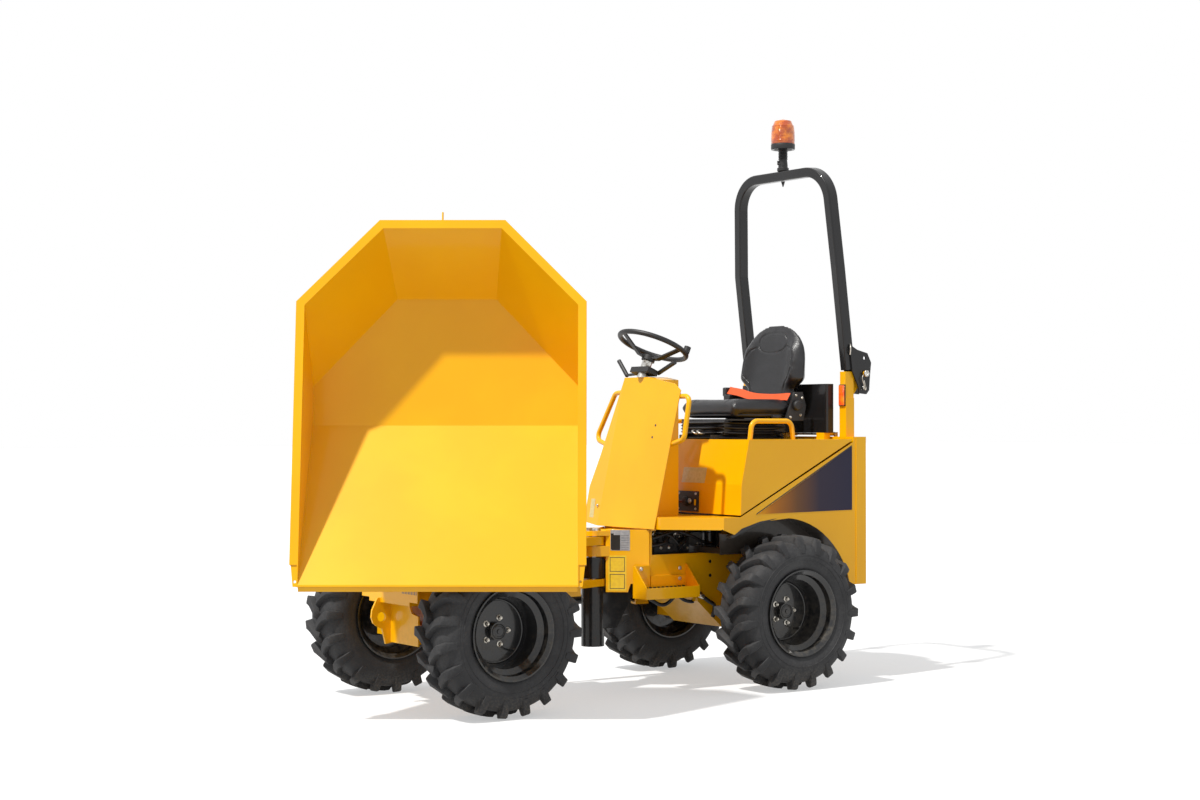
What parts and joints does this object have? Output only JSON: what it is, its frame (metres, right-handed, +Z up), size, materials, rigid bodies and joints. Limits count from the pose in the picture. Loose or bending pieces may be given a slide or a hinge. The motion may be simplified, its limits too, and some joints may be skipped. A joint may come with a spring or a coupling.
{
  "type": "articulated site dumper with swivel skip",
  "caption": "Articulated four-wheel site dumper: driver seat and folding roll bar behind, a swivelling forward-tipping skip on the front chassis.",
  "frame": {"origin": "on the ground under the middle of the bounding box, with the skip swivelled to the left and tipped", "axes": "+X forward, +Y to the driver's left, +Z up"},
  "size_m": [3.2413, 1.6733, 2.9189],
  "materials": {
    "tyre": "matt tread rubber",
    "rim_black": "gloss black",
    "cast_grey": "rough casting",
    "black_paint": "satin black",
    "amber_lens": "moulded amber",
    "seat_vinyl": "soft vinyl",
    "black_plastic": "moulded",
    "bright_steel": "bright",
    "yellow_paint": "gloss"
  },
  "bodies": {
    "rear": {"rear_chassis": "yellow_paint", "pivot_pin": "bright_steel", "pivot_knuckle": "black_paint", "body_shell": "yellow_paint", "hood_hinge": "bright_steel", "console": "yellow_paint", "console_rail_left": "yellow_paint", "console_rail_right": "yellow_paint", "steering_column": "bright_steel", "switch_cluster": "black_plastic", "engine_block": "cast_grey", "rops_post_left": "yellow_paint", "rops_post_right": "yellow_paint", "step_left": "yellow_paint", "wheel_motor_rear_left": "cast_grey", "wheel_motor_rear_right": "cast_grey"},
    "hood": {"hood": "yellow_paint", "hood_rail_left": "yellow_paint", "hood_rail_right": "yellow_paint", "seat_base": "black_plastic", "seat_cushion": "seat_vinyl", "seat_back": "seat_vinyl", "back_box": "black_paint", "control_plate": "black_plastic"},
    "roll_bar": {"rops_hoop": "black_paint", "beacon_base": "black_paint", "beacon_lens": "amber_lens"},
    "steering_wheel": {"steering_wheel": "black_plastic"},
    "front": {"front_chassis": "yellow_paint", "turntable": "cast_grey", "wheel_motor_front_left": "cast_grey", "wheel_motor_front_right": "cast_grey"},
    "cradle": {"skip_cradle": "yellow_paint"},
    "skip": {"skip_tub": "yellow_paint"},
    "tip_barrel": {"tip_ram_barrel": "black_paint"},
    "tip_rod": {"tip_ram_rod": "bright_steel"},
    "steer_barrel": {"steer_ram_barrel": "black_paint"},
    "steer_rod": {"steer_ram_rod": "bright_steel"},
    "wheel_front_left": {"rim_front_left": "rim_black", "tyre_front_left": "tyre"},
    "wheel_front_right": {"rim_front_right": "rim_black", "tyre_front_right": "tyre"},
    "wheel_rear_left": {"rim_rear_left": "rim_black", "tyre_rear_left": "tyre"},
    "wheel_rear_right": {"rim_rear_right": "rim_black", "tyre_rear_right": "tyre"}
  },
  "joints": [
    {"name": "articulation", "type": "hinge", "parent": "rear", "child": "front", "pos_m": [-0.162, -0.178, 0.5], "axis": [0, 0, 1], "range_deg": [-32, 32]},
    {"name": "skip_swivel", "type": "hinge", "parent": "front", "child": "cradle", "pos_m": [0.645, -0.178, 0.65], "axis": [0, 0, 1], "range_deg": [-145, 35]},
    {"name": "skip_lower", "type": "hinge", "parent": "cradle", "child": "skip", "pos_m": [0.94097, 0.24468, 0.866], "axis": [0.8192, -0.5736, 0], "range_deg": [0, 78]},
    {"name": "tip_ram_tilt", "type": "hinge", "parent": "cradle", "child": "tip_barrel", "pos_m": [0.83428, 0.09232, 0.728], "axis": [0.8192, -0.5736, 0], "range_deg": [0, 81.1]},
    {"name": "tip_ram_slide", "type": "slide", "parent": "tip_barrel", "child": "tip_rod", "axis": [-0.0302, -0.0431, 0.9986], "range_m": [-0.2905, 0]},
    {"name": "steer_ram_swing", "type": "hinge", "parent": "rear", "child": "steer_barrel", "pos_m": [-0.602, -0.428, 0.42], "axis": [0, 0, 1], "range_deg": [-12, 12]},
    {"name": "steer_ram_slide", "type": "slide", "parent": "steer_barrel", "child": "steer_rod", "axis": [0.9999, 0.0143, 0], "range_m": [-0.14, 0.14]},
    {"name": "roll_bar_fold", "type": "hinge", "parent": "rear", "child": "roll_bar", "pos_m": [-1.58, -0.178, 1.565], "axis": [0, -1, 0], "range_deg": [0, 110]},
    {"name": "hood_lift", "type": "hinge", "parent": "rear", "child": "hood", "pos_m": [-1.454, -0.178, 1.254], "axis": [0, -1, 0], "range_deg": [0, 45]},
    {"name": "steering_turn", "type": "hinge", "parent": "rear", "child": "steering_wheel", "pos_m": [-0.532, -0.178, 1.7], "axis": [-0.3907, 0, 0.9205], "continuous": true},
    {"name": "wheel_front_left_spin", "type": "hinge", "parent": "front", "child": "wheel_front_left", "pos_m": [0.713, 0.352, 0.38], "axis": [0, 1, 0], "continuous": true},
    {"name": "wheel_front_right_spin", "type": "hinge", "parent": "front", "child": "wheel_front_right", "pos_m": [0.713, -0.708, 0.38], "axis": [0, 1, 0], "continuous": true},
    {"name": "wheel_rear_left_spin", "type": "hinge", "parent": "rear", "child": "wheel_rear_left", "pos_m": [-0.962, 0.352, 0.38], "axis": [0, 1, 0], "continuous": true},
    {"name": "wheel_rear_right_spin", "type": "hinge", "parent": "rear", "child": "wheel_rear_right", "pos_m": [-0.962, -0.708, 0.38], "axis": [0, 1, 0], "continuous": true}
  ],
  "couplings": [
    {"joint": "tip_ram_tilt", "follows": "skip_lower", "ratio": 1.0385},
    {"joint": "tip_ram_slide", "follows": "skip_lower", "m_per_rad": -0.21263},
    {"joint": "steer_ram_swing", "follows": "articulation", "ratio": 0.35752},
    {"joint": "steer_ram_slide", "follows": "articulation", "m_per_rad": 0.2398}
  ]
}
